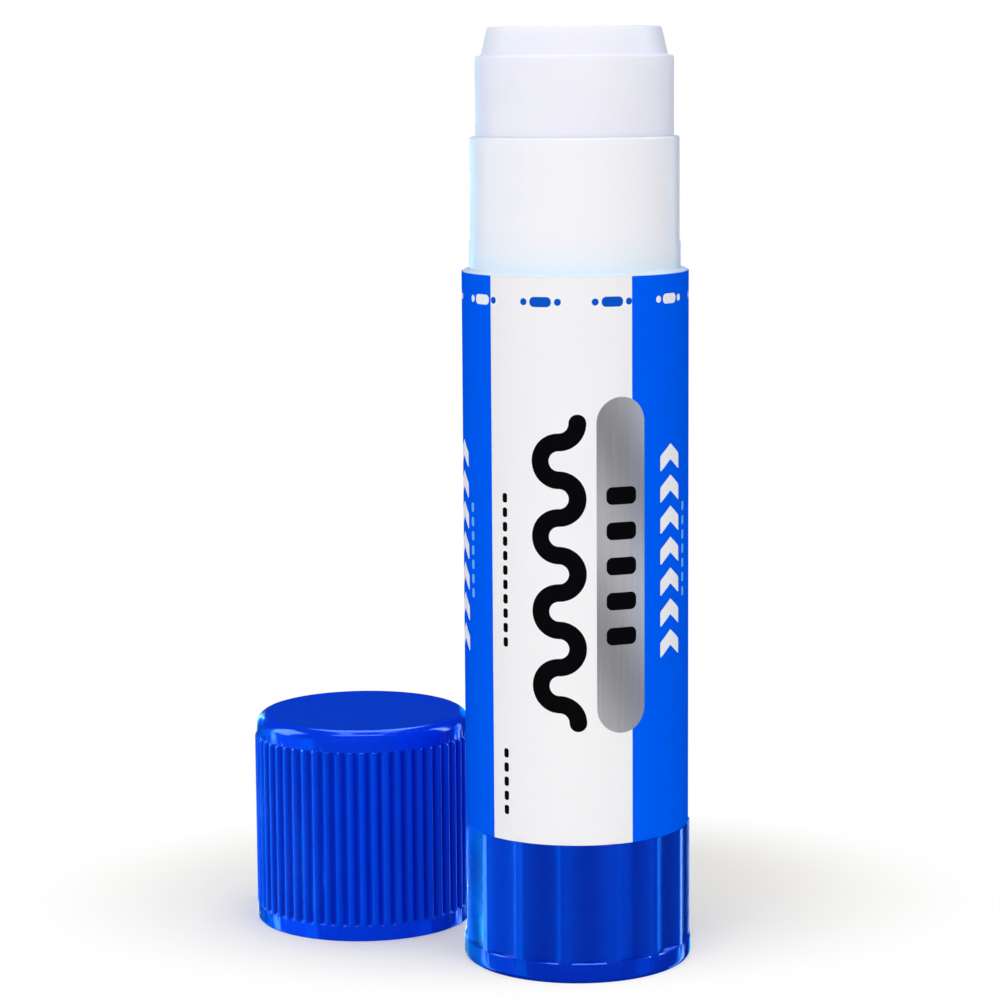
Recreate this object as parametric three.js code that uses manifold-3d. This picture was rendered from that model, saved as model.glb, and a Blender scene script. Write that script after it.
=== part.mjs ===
// A jumbo twist-up glue stick, wound a little way out, with its cap standing beside it.
// Millimetres, +Z up. The origin is the centre of the stick's foot, on the surface it stands on.
// Turning the knob turns a threaded spindle, and the spindle lifts a keyed carrier that holds the glue.
import * as THREE from "three";
import { mergeVertices } from "three/addons/utils/BufferGeometryUtils.js";
import Module from "manifold-3d";

const wasm = await Module();
wasm.setup();

// Facets: round pieces that fit in each other share a count, so the gap between them stays even.
const stickFacets = 60;
const capFacets = 56;
const threadFacets = 20;

// Gaps: seat gap between pieces that touch, running gap round a piece that turns or slides.
const seatGap = 0.05;
const runningGap = 0.15;
const knobGap = 0.25;
const stopGap = 0.4;

// Knob: its lands stand a little proud of the label, and its foot ring a little proud of them
const landProud = 0.18;
const ringProud = 0.14;
const ringHeight = 2.9;
const ringEdge = 0.85;
const knobHeight = 18.45;
const fluteCount = 15;
const fluteTurn = THREE.MathUtils.degToRad(-4.6);
const fluteWidth = THREE.MathUtils.degToRad(19);
const fluteDepth = 0.55;
const fluteSteps = 6;
const knobFloor = 1.8;
const footGrooveInset = 4.3;
const footGrooveWidth = 0.8;
const footGrooveDepth = 0.4;

// Snap collar of the knob, which turns inside the barrel's lower end
const collarHeight = 5.75;
const collarWall = 1.25;
const snapLevel = 2.75;
const snapBead = 0.3;
const snapBeadHeight = 0.8;
const snapGrooveHeight = 1.4;

// Barrel and its neck
const barrelRadius = 14.8;
const barrelLength = 74.5;
const barrelEdge = 0.3;
const barrelWall = 1.67;
const neckWall = 0.65;
const neckHeight = 17.3;
const neckEdge = 0.3;
const neckFootProud = 0.15;
const neckFootHeight = 3.4;

// Printed label round the barrel
const labelThickness = 0.16;
const labelFootMargin = 0.1;
const labelTopMargin = 0.3;

// Carrier: a cup for the glue over a skirt, with keys that run in grooves of the barrel
const carrierGap = 0.2;
const carrierWall = 0.9;
const cupDepth = 8;
const cupFloor = 1.2;
const skirtHeight = 10.8;
const keyCount = 4;
const keyHeight = 3;
const keyWidth = 2;
const keyProud = 0.6;
const keyGrooveClearance = 0.2;
const keyGrooveEnd = 0.4;
const nutWall = 1.95;
const nutLength = 8;

// Spindle and its thread, one start, right-handed
const threadLead = 6;
const threadCrest = 3.8;
const threadRoot = 2.7;
const ridgeTip = 1.3;
const ridgeFoot = 2.7;
const threadGap = 0.25;
const threadRunOut = 2.6;
const threadGrip = 5.5;
const shankRadius = 3.4;
const spindleTipChamfer = 0.8;
const spindleSides = 6;
const spindleFootRadius = 3.8;
const spindleFlangeHeight = 1.2;
const socketWall = 1.55;
const socketFloor = 1.2;
const socketDepth = 9;

// Glue: its shoulder is level with the neck's rim when the carrier is at its lower stop
const glueGap = 0.1;
const glueTipStep = 0.75;
const glueTipTaper = 0.9;
const glueTipHeight = 3.7;
const glueTipEdge = 0.2;
const glueBoreClearance = 0.4;
const glueBoreEnd = 0.8;
const woundOut = 10.5;

// Cap, with its inner seal, and where it stands
const capPlace = new THREE.Vector3(-29.8, 20.9, 0);
const capWall = 1.15;
const capHeight = 29.5;
const capCorner = 1.7;
const capCrown = 1.2;
const capMouthGap = 0.12;
const capDish = 0.3;
const capDishInset = 2.43;
const capLift = 0.2;
const ribCount = 56;
const ribProud = 0.12;
const ribDepth = 0.3;
const ribBottom = 2.1;
const ribTopInset = 2.9;
const sealWall = 0.8;
const sealFlangeHeight = 1.2;
const sealConeGap = 0.3;
const sealPostRadius = 9.4;
const sealPostWall = 1;

// Levels and radii that follow from the sizes above
const boreRadius = barrelRadius - barrelWall;
const neckRadius = boreRadius + neckWall;
const neckFootRadius = neckRadius + neckFootProud;
const labelInside = barrelRadius + seatGap;
const labelOutside = labelInside + labelThickness;
const landRadius = labelOutside + landProud;
const ringRadius = landRadius + ringProud;
const footGrooveRadius = ringRadius - footGrooveInset;
const barrelBottom = knobHeight + knobGap;
const barrelShoulder = barrelBottom + barrelLength;
const neckTop = barrelShoulder + neckHeight;
const collarRadius = boreRadius - runningGap;
const collarTop = knobHeight + collarHeight;
const snapAt = knobHeight + snapLevel;
const carrierRadius = boreRadius - carrierGap;
const carrierLow = collarTop + stopGap;
const keyReach = carrierRadius + keyProud;
const grooveReach = keyReach + keyGrooveClearance;
const grooveTop = barrelShoulder - keyGrooveEnd;
const carrierHeight = skirtHeight + cupFloor + cupDepth;
const travel = grooveTop - stopGap - keyHeight - carrierLow;
const carrierRest = carrierLow + woundOut;
const socketBottom = knobFloor + socketFloor;
const socketTop = socketBottom + socketDepth;
const socketRadius = spindleFootRadius + seatGap + socketWall;
const threadStart = carrierLow - threadRunOut;
const spindleTop = carrierLow + travel + threadGrip;
const nutBore = threadCrest + threadGap;
const nutRadius = nutBore + nutWall;
const glueBore = threadCrest + glueBoreClearance;
const cupRadius = carrierRadius - carrierWall;
const glueRadius = boreRadius - glueGap;
const glueTipFoot = glueRadius - glueTipStep;
const glueTipRadius = glueTipFoot - glueTipTaper;
const capInside = neckFootRadius + capMouthGap;
const capRadius = capInside + capWall;
const capDishRadius = capRadius - capDishInset;
const ribCrest = capRadius + ribProud;
const ribValley = ribCrest - ribDepth;
const crownInside = capHeight - capDish - capCrown;
const sealSeat = neckHeight - capLift + seatGap;

// Finishes
const bluePlastic = { color: 0x0038d0, roughness: 0.3, metalness: 0 };
const whitePlastic = { color: 0xf2f5f8, roughness: 0.4, metalness: 0 };
const printedFilm = { color: 0x0a5cec, roughness: 0.35, metalness: 0 };
const glueSoap = { color: 0xeceefa, roughness: 0.45, metalness: 0 };
const sealPlastic = { color: 0xe8eef2, roughness: 0.5, metalness: 0 };

// A closed geometry as a solid: shared vertices are merged, and triangles that shrank to a line go.
function solidOf(geometry) {
  const bare = geometry.clone();
  bare.deleteAttribute("normal");
  bare.deleteAttribute("uv");
  const merged = mergeVertices(bare, 1e-4);
  const corners = merged.index.array;
  const kept = [];
  for (let i = 0; i < corners.length; i += 3) {
    const [a, b, c] = [corners[i], corners[i + 1], corners[i + 2]];
    if (a !== b && b !== c && c !== a) kept.push(a, b, c);
  }
  const mesh = new wasm.Mesh({
    numProp: 3,
    vertProperties: new Float32Array(merged.attributes.position.array),
    triVerts: new Uint32Array(kept),
  });
  return new wasm.Manifold(mesh);
}

// A solid as a geometry that a mesh can show.
function geometryOf(solid) {
  const mesh = solid.getMesh();
  const places = new Float32Array(mesh.numVert * 3);
  for (let i = 0; i < mesh.numVert; i++) {
    const from = i * mesh.numProp;
    places.set(mesh.vertProperties.subarray(from, from + 3), i * 3);
  }
  const geometry = new THREE.BufferGeometry();
  geometry.setAttribute("position", new THREE.BufferAttribute(places, 3));
  geometry.setIndex(new THREE.BufferAttribute(new Uint32Array(mesh.triVerts), 1));
  geometry.computeVertexNormals();
  return geometry;
}

// A solid of revolution about Z. The profile is [radius, level] pairs, anticlockwise with the axis
// on its left, and it either starts and ends on the axis or is closed here.
function turned(profile, facets = stickFacets) {
  const points = profile.map(([radius, level]) => new THREE.Vector2(radius, level));
  const onAxis = profile[0][0] === 0 && profile.at(-1)[0] === 0;
  if (!onAxis) points.push(points[0].clone());
  const lathe = new THREE.LatheGeometry(points, facets);
  lathe.rotateX(Math.PI / 2);
  return solidOf(lathe);
}

// A plain disc or rod between two levels.
function rod(radius, low, high, facets = stickFacets) {
  return turned([[0, low], [radius, low], [radius, high], [0, high]], facets);
}

// An upright prism between two levels, on an outline of [x, y] pairs.
function prism(outline, low, high) {
  const shape = new THREE.Shape(outline.map(([x, y]) => new THREE.Vector2(x, y)));
  const block = new THREE.ExtrudeGeometry(shape, { depth: high - low, bevelEnabled: false });
  block.translate(0, 0, low);
  return solidOf(block);
}

// Points of an arc in a profile, with angles in degrees from the radial direction.
function arc(centreRadius, centreLevel, radius, from, to, steps = 4) {
  const points = [];
  for (let i = 0; i <= steps; i++) {
    const angle = THREE.MathUtils.degToRad(from + ((to - from) * i) / steps);
    points.push([centreRadius + radius * Math.cos(angle), centreLevel + radius * Math.sin(angle)]);
  }
  return points;
}

// Bars that stick out from the axis to a reach, evenly spaced, for keys and for their grooves.
function spokes(reach, width, low, high) {
  let all = null;
  for (let i = 0; i < keyCount; i++) {
    const bar = new THREE.BoxGeometry(reach, width, high - low);
    bar.translate(reach / 2, 0, (low + high) / 2);
    bar.rotateZ((2 * Math.PI * (i + 0.5)) / keyCount);
    all = all ? all.add(solidOf(bar)) : solidOf(bar);
  }
  return all;
}

// A threaded rod between two levels. The screw surface is a strip of corners that winds up the axis
// by one lead a turn, so its last column joins its first one a ridge higher. The raw rod is made a
// lead too long at each end and then cut square. phase lifts the whole helix.
function threadedRod(low, high, grow, phase = 0) {
  const crest = threadCrest + grow;
  const root = threadRoot + grow;
  const halfTip = ridgeTip / 2 + grow;
  const halfFoot = ridgeFoot / 2 + grow;
  const corners = [[root, -halfFoot], [crest, -halfTip], [crest, halfTip], [root, halfFoot]];
  const firstTurn = Math.floor((low - phase) / threadLead) - 2;
  const turns = Math.ceil((high - low) / threadLead) + 4;
  const rows = (turns + 1) * corners.length;
  const places = [];
  for (let column = 0; column < threadFacets; column++) {
    const angle = (2 * Math.PI * column) / threadFacets;
    for (let row = 0; row < rows; row++) {
      const [radius, offset] = corners[row % corners.length];
      const turn = firstTurn + Math.floor(row / corners.length) + column / threadFacets;
      places.push(radius * Math.cos(angle), radius * Math.sin(angle), phase + turn * threadLead + offset);
    }
  }
  // A corner of the strip, where the column after the last is the first one, one ridge up.
  const corner = (column, row) =>
    column < threadFacets ? column * rows + row : row + corners.length;
  const triangles = [];
  const used = rows - corners.length;
  for (let column = 0; column < threadFacets; column++) {
    for (let row = 0; row < used - 1; row++) {
      const [a, b] = [corner(column, row), corner(column, row + 1)];
      const [c, d] = [corner(column + 1, row + 1), corner(column + 1, row)];
      triangles.push(a, d, c, a, c, b);
    }
  }
  const bottomCentre = places.length / 3;
  places.push(0, 0, phase + firstTurn * threadLead);
  const topCentre = bottomCentre + 1;
  places.push(0, 0, phase + (firstTurn + turns) * threadLead);
  const bottomRim = [];
  const topRim = [];
  for (let column = 0; column <= threadFacets; column++) {
    bottomRim.push(corner(column, 0));
    topRim.push(corner(column, used - 1));
  }
  for (let step = corners.length - 1; step >= 0; step--) {
    bottomRim.push(corner(0, step));
    topRim.push(corner(0, used - 1 + step));
  }
  for (let i = 0; i < bottomRim.length - 1; i++) {
    triangles.push(bottomCentre, bottomRim[i + 1], bottomRim[i]);
    triangles.push(topCentre, topRim[i], topRim[i + 1]);
  }
  const geometry = new THREE.BufferGeometry();
  geometry.setAttribute("position", new THREE.Float32BufferAttribute(places, 3));
  geometry.setIndex(triangles);
  return solidOf(geometry).intersect(rod(crest + 1, low, high, threadFacets));
}

// Knob outline: narrow lands with a shallow scoop between each two. Angles run from +Y towards +X,
// and fluteTurn is the angle of the first land.
function flutedOutline() {
  const pitch = (2 * Math.PI) / fluteCount;
  const points = [];
  for (let flute = 0; flute < fluteCount; flute++) {
    const start = fluteTurn + flute * pitch + (pitch - fluteWidth) / 2;
    for (let step = 0; step <= fluteSteps; step++) {
      const across = step / fluteSteps;
      const radius = landRadius - fluteDepth * 4 * across * (1 - across);
      const angle = start + across * fluteWidth;
      points.push([radius * Math.sin(angle), radius * Math.cos(angle)]);
    }
  }
  return points.reverse();
}

// Cap outline: round ribs that meet in narrow grooves.
function ribbedOutline() {
  const pitch = (2 * Math.PI) / ribCount;
  const flank = ribCrest - (ribCrest - ribValley) * 0.25;
  const points = [];
  for (let rib = 0; rib < ribCount; rib++) {
    [[0, ribValley], [0.2, flank], [0.5, ribCrest], [0.8, flank]].forEach(([across, radius]) => {
      const angle = (rib + across) * pitch;
      points.push([radius * Math.cos(angle), radius * Math.sin(angle)]);
    });
  }
  return points;
}

// Fluted knob: a closed foot ring, fluted skirt, snap collar above and a socket for the spindle.
function twistKnob() {
  const inside = collarRadius - collarWall;
  const grooveInner = footGrooveRadius - footGrooveWidth / 2;
  const grooveOuter = footGrooveRadius + footGrooveWidth / 2;
  const ring = turned([
    [0, 0],
    [grooveInner, 0],
    [grooveInner, footGrooveDepth],
    [grooveOuter, footGrooveDepth],
    [grooveOuter, 0],
    ...arc(ringRadius - ringEdge, ringEdge, ringEdge, -90, 0),
    [ringRadius, ringHeight],
    [0, ringHeight],
  ]);
  const skirt = prism(flutedOutline(), ringHeight / 2, knobHeight);
  const collar = turned([
    [0, knobHeight - 1],
    [collarRadius, knobHeight - 1],
    [collarRadius, snapAt - snapBeadHeight / 2],
    [collarRadius + snapBead, snapAt],
    [collarRadius, snapAt + snapBeadHeight / 2],
    [collarRadius, collarTop - snapBead],
    [collarRadius - snapBead, collarTop],
    [0, collarTop],
  ]);
  const hollow = rod(inside, knobFloor, collarTop + 1);
  const socket = rod(socketRadius, knobFloor / 2, socketTop);
  const hole = rod(spindleFootRadius + seatGap, socketBottom, socketTop + 1, spindleSides);
  return ring.add(skirt).add(collar).subtract(hollow).add(socket).subtract(hole);
}

// White barrel with its neck in one piece. Key grooves are open at the lower end, where the
// carrier goes in, and stop below the neck. The snap groove takes the bead of the knob's collar.
function barrel() {
  const tube = turned([
    [0, barrelBottom],
    [barrelRadius, barrelBottom],
    [barrelRadius, barrelShoulder - barrelEdge],
    [barrelRadius - barrelEdge, barrelShoulder],
    [neckFootRadius, barrelShoulder],
    [neckFootRadius, barrelShoulder + neckFootHeight],
    [neckRadius, barrelShoulder + neckFootHeight + barrelEdge],
    ...arc(neckRadius - neckEdge, neckTop - neckEdge, neckEdge, 0, 90, 3),
    [0, neckTop],
  ]);
  const bore = rod(boreRadius, barrelBottom - 1, neckTop + 1);
  const snapReach = collarRadius + snapBead + runningGap;
  const snapGroove = turned([
    [0, snapAt - snapGrooveHeight / 2],
    [boreRadius, snapAt - snapGrooveHeight / 2],
    [snapReach, snapAt - snapBeadHeight / 4],
    [snapReach, snapAt + snapBeadHeight / 4],
    [boreRadius, snapAt + snapGrooveHeight / 2],
    [0, snapAt + snapGrooveHeight / 2],
  ]);
  const keyGrooves = spokes(grooveReach, keyWidth + 2 * keyGrooveClearance, barrelBottom - 1, grooveTop);
  return tube.subtract(bore.add(snapGroove).add(keyGrooves));
}

// Label: a printed film wrapped round the barrel, a little short of both its ends.
function wrapLabel() {
  const low = barrelBottom + labelFootMargin;
  const high = barrelShoulder - labelTopMargin;
  return turned([[labelInside, low], [labelOutside, low], [labelOutside, high], [labelInside, high]]);
}

// Spindle: a six-sided foot for the knob's socket, a flange that rests on it, a shank and a thread.
function screwSpindle() {
  const foot = rod(spindleFootRadius, socketBottom + seatGap, socketTop + 1, spindleSides);
  const flangeBottom = socketTop + seatGap;
  const flange = rod(socketRadius, flangeBottom, flangeBottom + spindleFlangeHeight, threadFacets);
  const shank = rod(shankRadius, flangeBottom, threadStart + 0.5, threadFacets);
  const thread = threadedRod(threadStart, spindleTop, 0);
  const pointed = turned([
    [0, socketBottom - 1],
    [ringRadius, socketBottom - 1],
    [ringRadius, threadStart],
    [threadCrest + 1, threadStart],
    [threadCrest + 1, spindleTop - spindleTipChamfer - 1],
    [threadCrest - spindleTipChamfer, spindleTop],
    [0, spindleTop],
  ], threadFacets);
  return foot.add(flange).add(shank).add(thread).intersect(pointed);
}

// Carrier in its own frame, with its lower edge at level 0.
function carrierCup() {
  const floorLevel = skirtHeight;
  const cup = turned([
    [0, 0],
    [carrierRadius, 0],
    [carrierRadius, carrierHeight],
    [cupRadius, carrierHeight],
    [cupRadius, floorLevel + cupFloor],
    [0, floorLevel + cupFloor],
  ]);
  const under = turned([
    [nutRadius, -1],
    [cupRadius, -1],
    [cupRadius, floorLevel],
    [nutRadius, floorLevel],
  ]);
  const keys = spokes(keyReach, keyWidth, 0, keyHeight).subtract(rod(cupRadius, -1, keyHeight + 1));
  const tap = threadedRod(-1, nutLength + 1, threadGap, -carrierRest);
  const plainBore = rod(nutBore, nutLength, carrierHeight, threadFacets);
  return cup.subtract(under).add(keys).subtract(tap).subtract(plainBore);
}

// Glue in the carrier's frame: it fills the cup and the barrel's bore, ends in a stepped cone, and
// has a blind hole that the spindle stands in.
function glueCore() {
  const bottom = skirtHeight + cupFloor + seatGap;
  const overCup = carrierHeight + seatGap;
  const shoulder = neckTop - carrierLow;
  const boreTop = spindleTop + glueBoreEnd - carrierLow;
  const body = turned([
    [0, bottom],
    [cupRadius - seatGap, bottom],
    [cupRadius - seatGap, overCup],
    [glueRadius, overCup],
    [glueRadius, shoulder - glueTipEdge],
    [glueRadius - glueTipEdge, shoulder],
    [glueTipFoot, shoulder],
    [glueTipRadius, shoulder + glueTipHeight - glueTipEdge],
    [glueTipRadius - glueTipEdge, shoulder + glueTipHeight],
    [0, shoulder + glueTipHeight],
  ]);
  return body.subtract(rod(glueBore, bottom - 1, boreTop, threadFacets));
}

// Cap in its own frame, mouth down at level 0.
function capShell() {
  const topBand = capHeight - ribTopInset;
  const outer = turned([
    [0, 0],
    [capRadius, 0],
    [capRadius, ribBottom],
    [ribValley, ribBottom],
    [ribValley, topBand],
    [capRadius, topBand],
    ...arc(capRadius - capCorner, capHeight - capCorner, capCorner, 0, 90, 5),
    [capDishRadius, capHeight],
    [capDishRadius - 1, capHeight - capDish / 2],
    [0, capHeight - capDish],
  ], capFacets);
  const ribs = prism(ribbedOutline(), ribBottom, topBand);
  const inside = rod(capInside, -1, crownInside, capFacets);
  return outer.add(ribs).subtract(inside);
}

// Seal in the cap's frame: a thin flanged cone that closes over the neck and shapes the glue's
// tip, with a post that bears on the crown.
function tipSeal() {
  const flangeTop = sealSeat + sealFlangeHeight;
  const coneFoot = glueTipFoot + sealConeGap;
  const coneTip = glueTipRadius + sealConeGap;
  const coneTop = sealSeat + glueTipHeight + sealConeGap;
  const postInside = sealPostRadius - sealPostWall;
  return turned([
    [0, coneTop],
    [coneTip, coneTop],
    [coneFoot, sealSeat],
    [capInside - seatGap, sealSeat],
    [capInside - seatGap, flangeTop],
    [coneFoot + sealWall, flangeTop],
    [coneTip + sealWall, coneTop + sealWall],
    [sealPostRadius, coneTop + sealWall],
    [sealPostRadius, crownInside - seatGap],
    [postInside, crownInside - seatGap],
    [postInside, coneTop + sealWall],
    [0, coneTop + sealWall],
  ], capFacets);
}

// One named piece of the glue stick.
function piece(name, solid, finish) {
  const mesh = new THREE.Mesh(geometryOf(solid), new THREE.MeshStandardMaterial(finish));
  mesh.name = name;
  return mesh;
}

const glueStick = new THREE.Group();

const body = new THREE.Group();
body.add(piece("barrel", barrel(), whitePlastic));
body.add(piece("wrap_label", wrapLabel(), printedFilm));
glueStick.add(body);

const drive = new THREE.Group();
drive.add(piece("twist_knob", twistKnob(), bluePlastic));
drive.add(piece("screw_spindle", screwSpindle(), whitePlastic));
glueStick.add(drive);

const carriage = new THREE.Group();
carriage.add(piece("carrier_cup", carrierCup(), whitePlastic));
carriage.add(piece("glue_core", glueCore(), glueSoap));
carriage.position.z = carrierRest;
glueStick.add(carriage);

const cap = new THREE.Group();
cap.add(piece("cap_shell", capShell(), bluePlastic));
cap.add(piece("tip_seal", tipSeal(), sealPlastic));
cap.position.copy(capPlace);
glueStick.add(cap);

export default glueStick;
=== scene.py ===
# %% [markdown]
# # A jumbo glue stick with its cap off
#
# This lesson dresses a small moulded product: a white barrel with a printed film round it, a blue
# knob that winds the glue up, and a ribbed blue cap beside it. The pieces, their sizes and their
# joints are fixed already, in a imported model. Here each visible piece gets its fine surface and its
# finish. The frame comes first, because every place below is read from it.

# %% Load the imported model
import math

import bmesh
import bpy
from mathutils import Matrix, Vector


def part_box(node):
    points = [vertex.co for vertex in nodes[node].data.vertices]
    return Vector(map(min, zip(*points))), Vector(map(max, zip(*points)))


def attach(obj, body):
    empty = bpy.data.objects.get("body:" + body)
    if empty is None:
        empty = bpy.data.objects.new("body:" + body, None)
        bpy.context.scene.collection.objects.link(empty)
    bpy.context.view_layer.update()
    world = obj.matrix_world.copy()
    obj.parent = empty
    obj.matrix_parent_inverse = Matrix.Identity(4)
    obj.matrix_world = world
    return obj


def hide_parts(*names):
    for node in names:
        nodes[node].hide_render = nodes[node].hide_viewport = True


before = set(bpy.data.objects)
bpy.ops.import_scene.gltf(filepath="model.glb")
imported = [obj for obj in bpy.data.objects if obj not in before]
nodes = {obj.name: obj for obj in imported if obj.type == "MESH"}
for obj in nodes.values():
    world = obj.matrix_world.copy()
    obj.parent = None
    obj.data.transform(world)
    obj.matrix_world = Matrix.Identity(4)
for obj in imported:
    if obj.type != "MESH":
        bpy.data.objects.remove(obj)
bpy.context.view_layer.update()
MM = 0.001
print("nodes:", ", ".join(sorted(nodes)))

# %% [markdown]
# ## The camera
#
# A product photo is taken from a little above, with a long lens, so that upright edges stay nearly
# parallel. The camera could be placed by eye, but its place, tilt and lens follow from the edges of
# the stick in the picture: eight degrees down, and a hair of roll.

# %% Camera
CAMERA_PLACE = (-0.010134, -0.404525, 0.118652)
CAMERA_TILT = 0.13844
CAMERA_ROLL = -0.0071
CAMERA_LENS = 110.11
SENSOR_WIDTH = 36

bpy.ops.object.camera_add(location=CAMERA_PLACE, rotation=(math.pi / 2 - CAMERA_TILT, 0, 0))
camera = bpy.context.object
camera.name = "product_camera"
camera.rotation_euler.rotate_axis("Z", CAMERA_ROLL)
camera.data.lens = CAMERA_LENS
camera.data.sensor_width = SENSOR_WIDTH
bpy.context.scene.camera = camera
bpy.context.scene.view_settings.view_transform = "Standard"
print("camera looks down by", round(math.degrees(CAMERA_TILT), 1), "degrees")

# %% [markdown]
# ## Colours and nodes
#
# Colours are written as they look on a screen, in hex, and a shader wants linear light, so one
# function turns the one into the other. One more function adds a node, sets its properties and
# fills its sockets, which keeps each material as short as its recipe.

# %% Colour and node helpers
def colour(code):
    """A hex colour of the screen as linear red, green, blue and alpha."""
    shares = [int(code[i:i + 2], 16) / 255 for i in (1, 3, 5)]
    linear = [s / 12.92 if s <= 0.04045 else ((s + 0.055) / 1.055) ** 2.4 for s in shares]
    return (*linear, 1)


def add(tree, kind, inputs=None, output=0, **settings):
    """Add a node to a tree. Sockets are filled by name or number, and one output comes back."""
    node = tree.nodes.new("ShaderNode" + kind)
    for name, value in settings.items():
        setattr(node, name, value)
    for socket, value in (inputs or {}).items():
        if isinstance(value, bpy.types.NodeSocket):
            tree.links.new(value, node.inputs[socket])
        else:
            node.inputs[socket].default_value = value
    return node.outputs[output] if node.outputs else node


# A Mix node blends the colours at sockets 6 and 7 with these settings, and numbers at 2 and 3 without.
MIX_COLOURS = {"output": 2, "data_type": "RGBA"}
print("a mid grey is", round(colour("#808080")[0], 3), "in linear light")

# %% [markdown]
# ## Studio
#
# White plastic on white paper shows by its soft shading alone, so a big soft light stands in front,
# a little to the left, with a weak one to its right and one overhead. The world adds an even base
# light. Blue gloss shows by what it mirrors, which is set apart from that: gloss sees none of the
# soft lights, only a dim blue room that is lighter high up at the back, and the cards below. What
# the lens sees of the world is plain white.

# %% World
BASE_LIGHT = 0.51
ROOM_SHADE = 0.05
BACKDROP_SHADE = 0.3
BACKDROP_START = 0.85
BACKDROP_FULL = 1.1
UP_AND_BACK = (0, 1, 1)
BASE_WHITE = "#F3F4FF"
PLAIN_WHITE = "#FFFFFF"
GLOSS_BLUE = "#2E7CFF"

world = bpy.data.worlds.new("white_studio")
world.use_nodes = True
bpy.context.scene.world = world
studio = world.node_tree
studio.nodes.clear()
rays = add(studio, "LightPath").node.outputs
direction = add(studio, "TexCoord", output="Generated")
behind = add(
    studio, "VectorMath", {0: direction, 1: UP_AND_BACK}, output="Value", operation="DOT_PRODUCT"
)
shades = {1: BACKDROP_START, 2: BACKDROP_FULL, 3: ROOM_SHADE, 4: BACKDROP_SHADE}
room = add(studio, "MapRange", {0: behind, **shades})
lens_rays = {0: rays["Is Camera Ray"], 1: rays["Is Transmission Ray"]}
seen = add(studio, "Math", lens_rays, operation="MAXIMUM")
strength = add(studio, "Mix", {0: rays["Is Glossy Ray"], 2: BASE_LIGHT, 3: room})
strength = add(studio, "Mix", {0: seen, 2: strength, 3: 1.0})
cool = add(studio, "Mix", {0: seen, 6: colour(BASE_WHITE), 7: colour(PLAIN_WHITE)}, **MIX_COLOURS)
cool = add(studio, "Mix", {0: rays["Is Glossy Ray"], 6: cool, 7: colour(GLOSS_BLUE)}, **MIX_COLOURS)
glow = add(studio, "Background", {"Color": cool, "Strength": strength})
add(studio, "OutputWorld", {"Surface": glow})
print("base light:", BASE_LIGHT)

# %% Soft lights
STICK_MIDDLE = (-0.012, 0.008, 0.06)


def soft_light(name, place, width, height, power):
    """A rectangular lamp that faces the middle of the stick and lights matt surfaces."""
    bpy.ops.object.light_add(type="AREA", location=place)
    lamp = bpy.context.object
    lamp.name = name
    lamp.data.shape = "RECTANGLE"
    lamp.data.size = width
    lamp.data.size_y = height
    lamp.data.energy = power
    lamp.visible_camera = False
    lamp.visible_glossy = False
    away = [place[i] - STICK_MIDDLE[i] for i in range(3)]
    level = math.hypot(away[0], away[1])
    lamp.rotation_euler = (math.atan2(level, away[2]), 0, math.atan2(away[1], away[0]) + math.pi / 2)
    return lamp


soft_light("front_light", (-0.24, -0.82, 0.42), 0.6, 0.5, 3.2)
soft_light("fill_light", (0.42, -0.7, 0.35), 0.5, 0.5, 0.65)
soft_light("top_light", (0.02, 0.0, 0.9), 0.5, 0.4, 2.0)

# %% [markdown]
# ### Cards for the gloss
#
# A fluted knob mirrors a room as upright bands, and a round crown mirrors it as arcs. Each band is
# one card of light here, a lamp that only gloss sees, so that its place, width and tint follow the
# band. Painted bands would be quicker, but they wouldn't move with the view. Seen from a little
# above, an upright wall mirrors what lies below level, so the upright cards reach below the paper.
# They cast no shadow. The two at the back left also do without multiple importance sampling, which
# lets their light reach the knob past the cap that stands in its way.

# %% Card helpers
CARD_POWER = math.pi
CARD_REACH = 0.6
CARD_HEIGHT = 0.6
CARD_MIDDLE = -0.1
DEEP_TINT = "#00A0FF"
PALE_TINT = "#A8E0FF"
SKY_TINT = "#78DCFF"
AQUA_TINT = "#00D8FF"


def gloss_card(name, place, width, height, glow, tint):
    """A bright card that only glossy surfaces mirror. A glow of 1 is as bright as the background."""
    card = soft_light(name, place, width, height, CARD_POWER * glow * width * height)
    card.data.color = colour(tint)[:3]
    card.visible_diffuse = False
    card.visible_glossy = True
    return card


def upright_card(name, azimuth, width, glow, tint):
    """A tall card beside the stick. Its azimuth in degrees is 0 at the camera and rises to the right."""
    turn = math.radians(azimuth)
    place = (CARD_REACH * math.sin(turn), -CARD_REACH * math.cos(turn), CARD_MIDDLE)
    card = gloss_card(name, place, width, CARD_HEIGHT, glow, tint)
    card.data.use_shadow = False
    return card


print("a card of glow 1 gives", round(CARD_POWER, 2), "W for each square metre")

# %% Cards
upright_card("front_left_card", -62, 0.16, 1.3, AQUA_TINT)
upright_card("left_wide_card", -97, 0.61, 1.45, DEEP_TINT)
upright_card("left_card", -110, 0.08, 5, SKY_TINT)
upright_card("right_wide_card", 71, 0.2, 0.9, DEEP_TINT)
upright_card("right_card", 125, 0.09, 2.4, DEEP_TINT)
upright_card("right_edge_card", 133, 0.07, 4, PALE_TINT)
upright_card("back_right_card", 168, 0.2, 1.5, DEEP_TINT)
cards_past_cap = (
    upright_card("back_left_wide_card", -139, 0.32, 2.0, DEEP_TINT),
    upright_card("back_left_card", -158, 0.09, 8, SKY_TINT),
)
for card in cards_past_cap:
    card.data.cycles.use_multiple_importance_sampling = False
gloss_card("top_front_card", (0, -0.23, 0.8), 0.7, 0.12, 8, PALE_TINT)
gloss_card("top_left_card", (-0.16, 0.02, 0.8), 0.26, 0.1, 6, PALE_TINT)
gloss_card("top_right_card", (0.16, 0.02, 0.8), 0.26, 0.1, 6, PALE_TINT)
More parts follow.
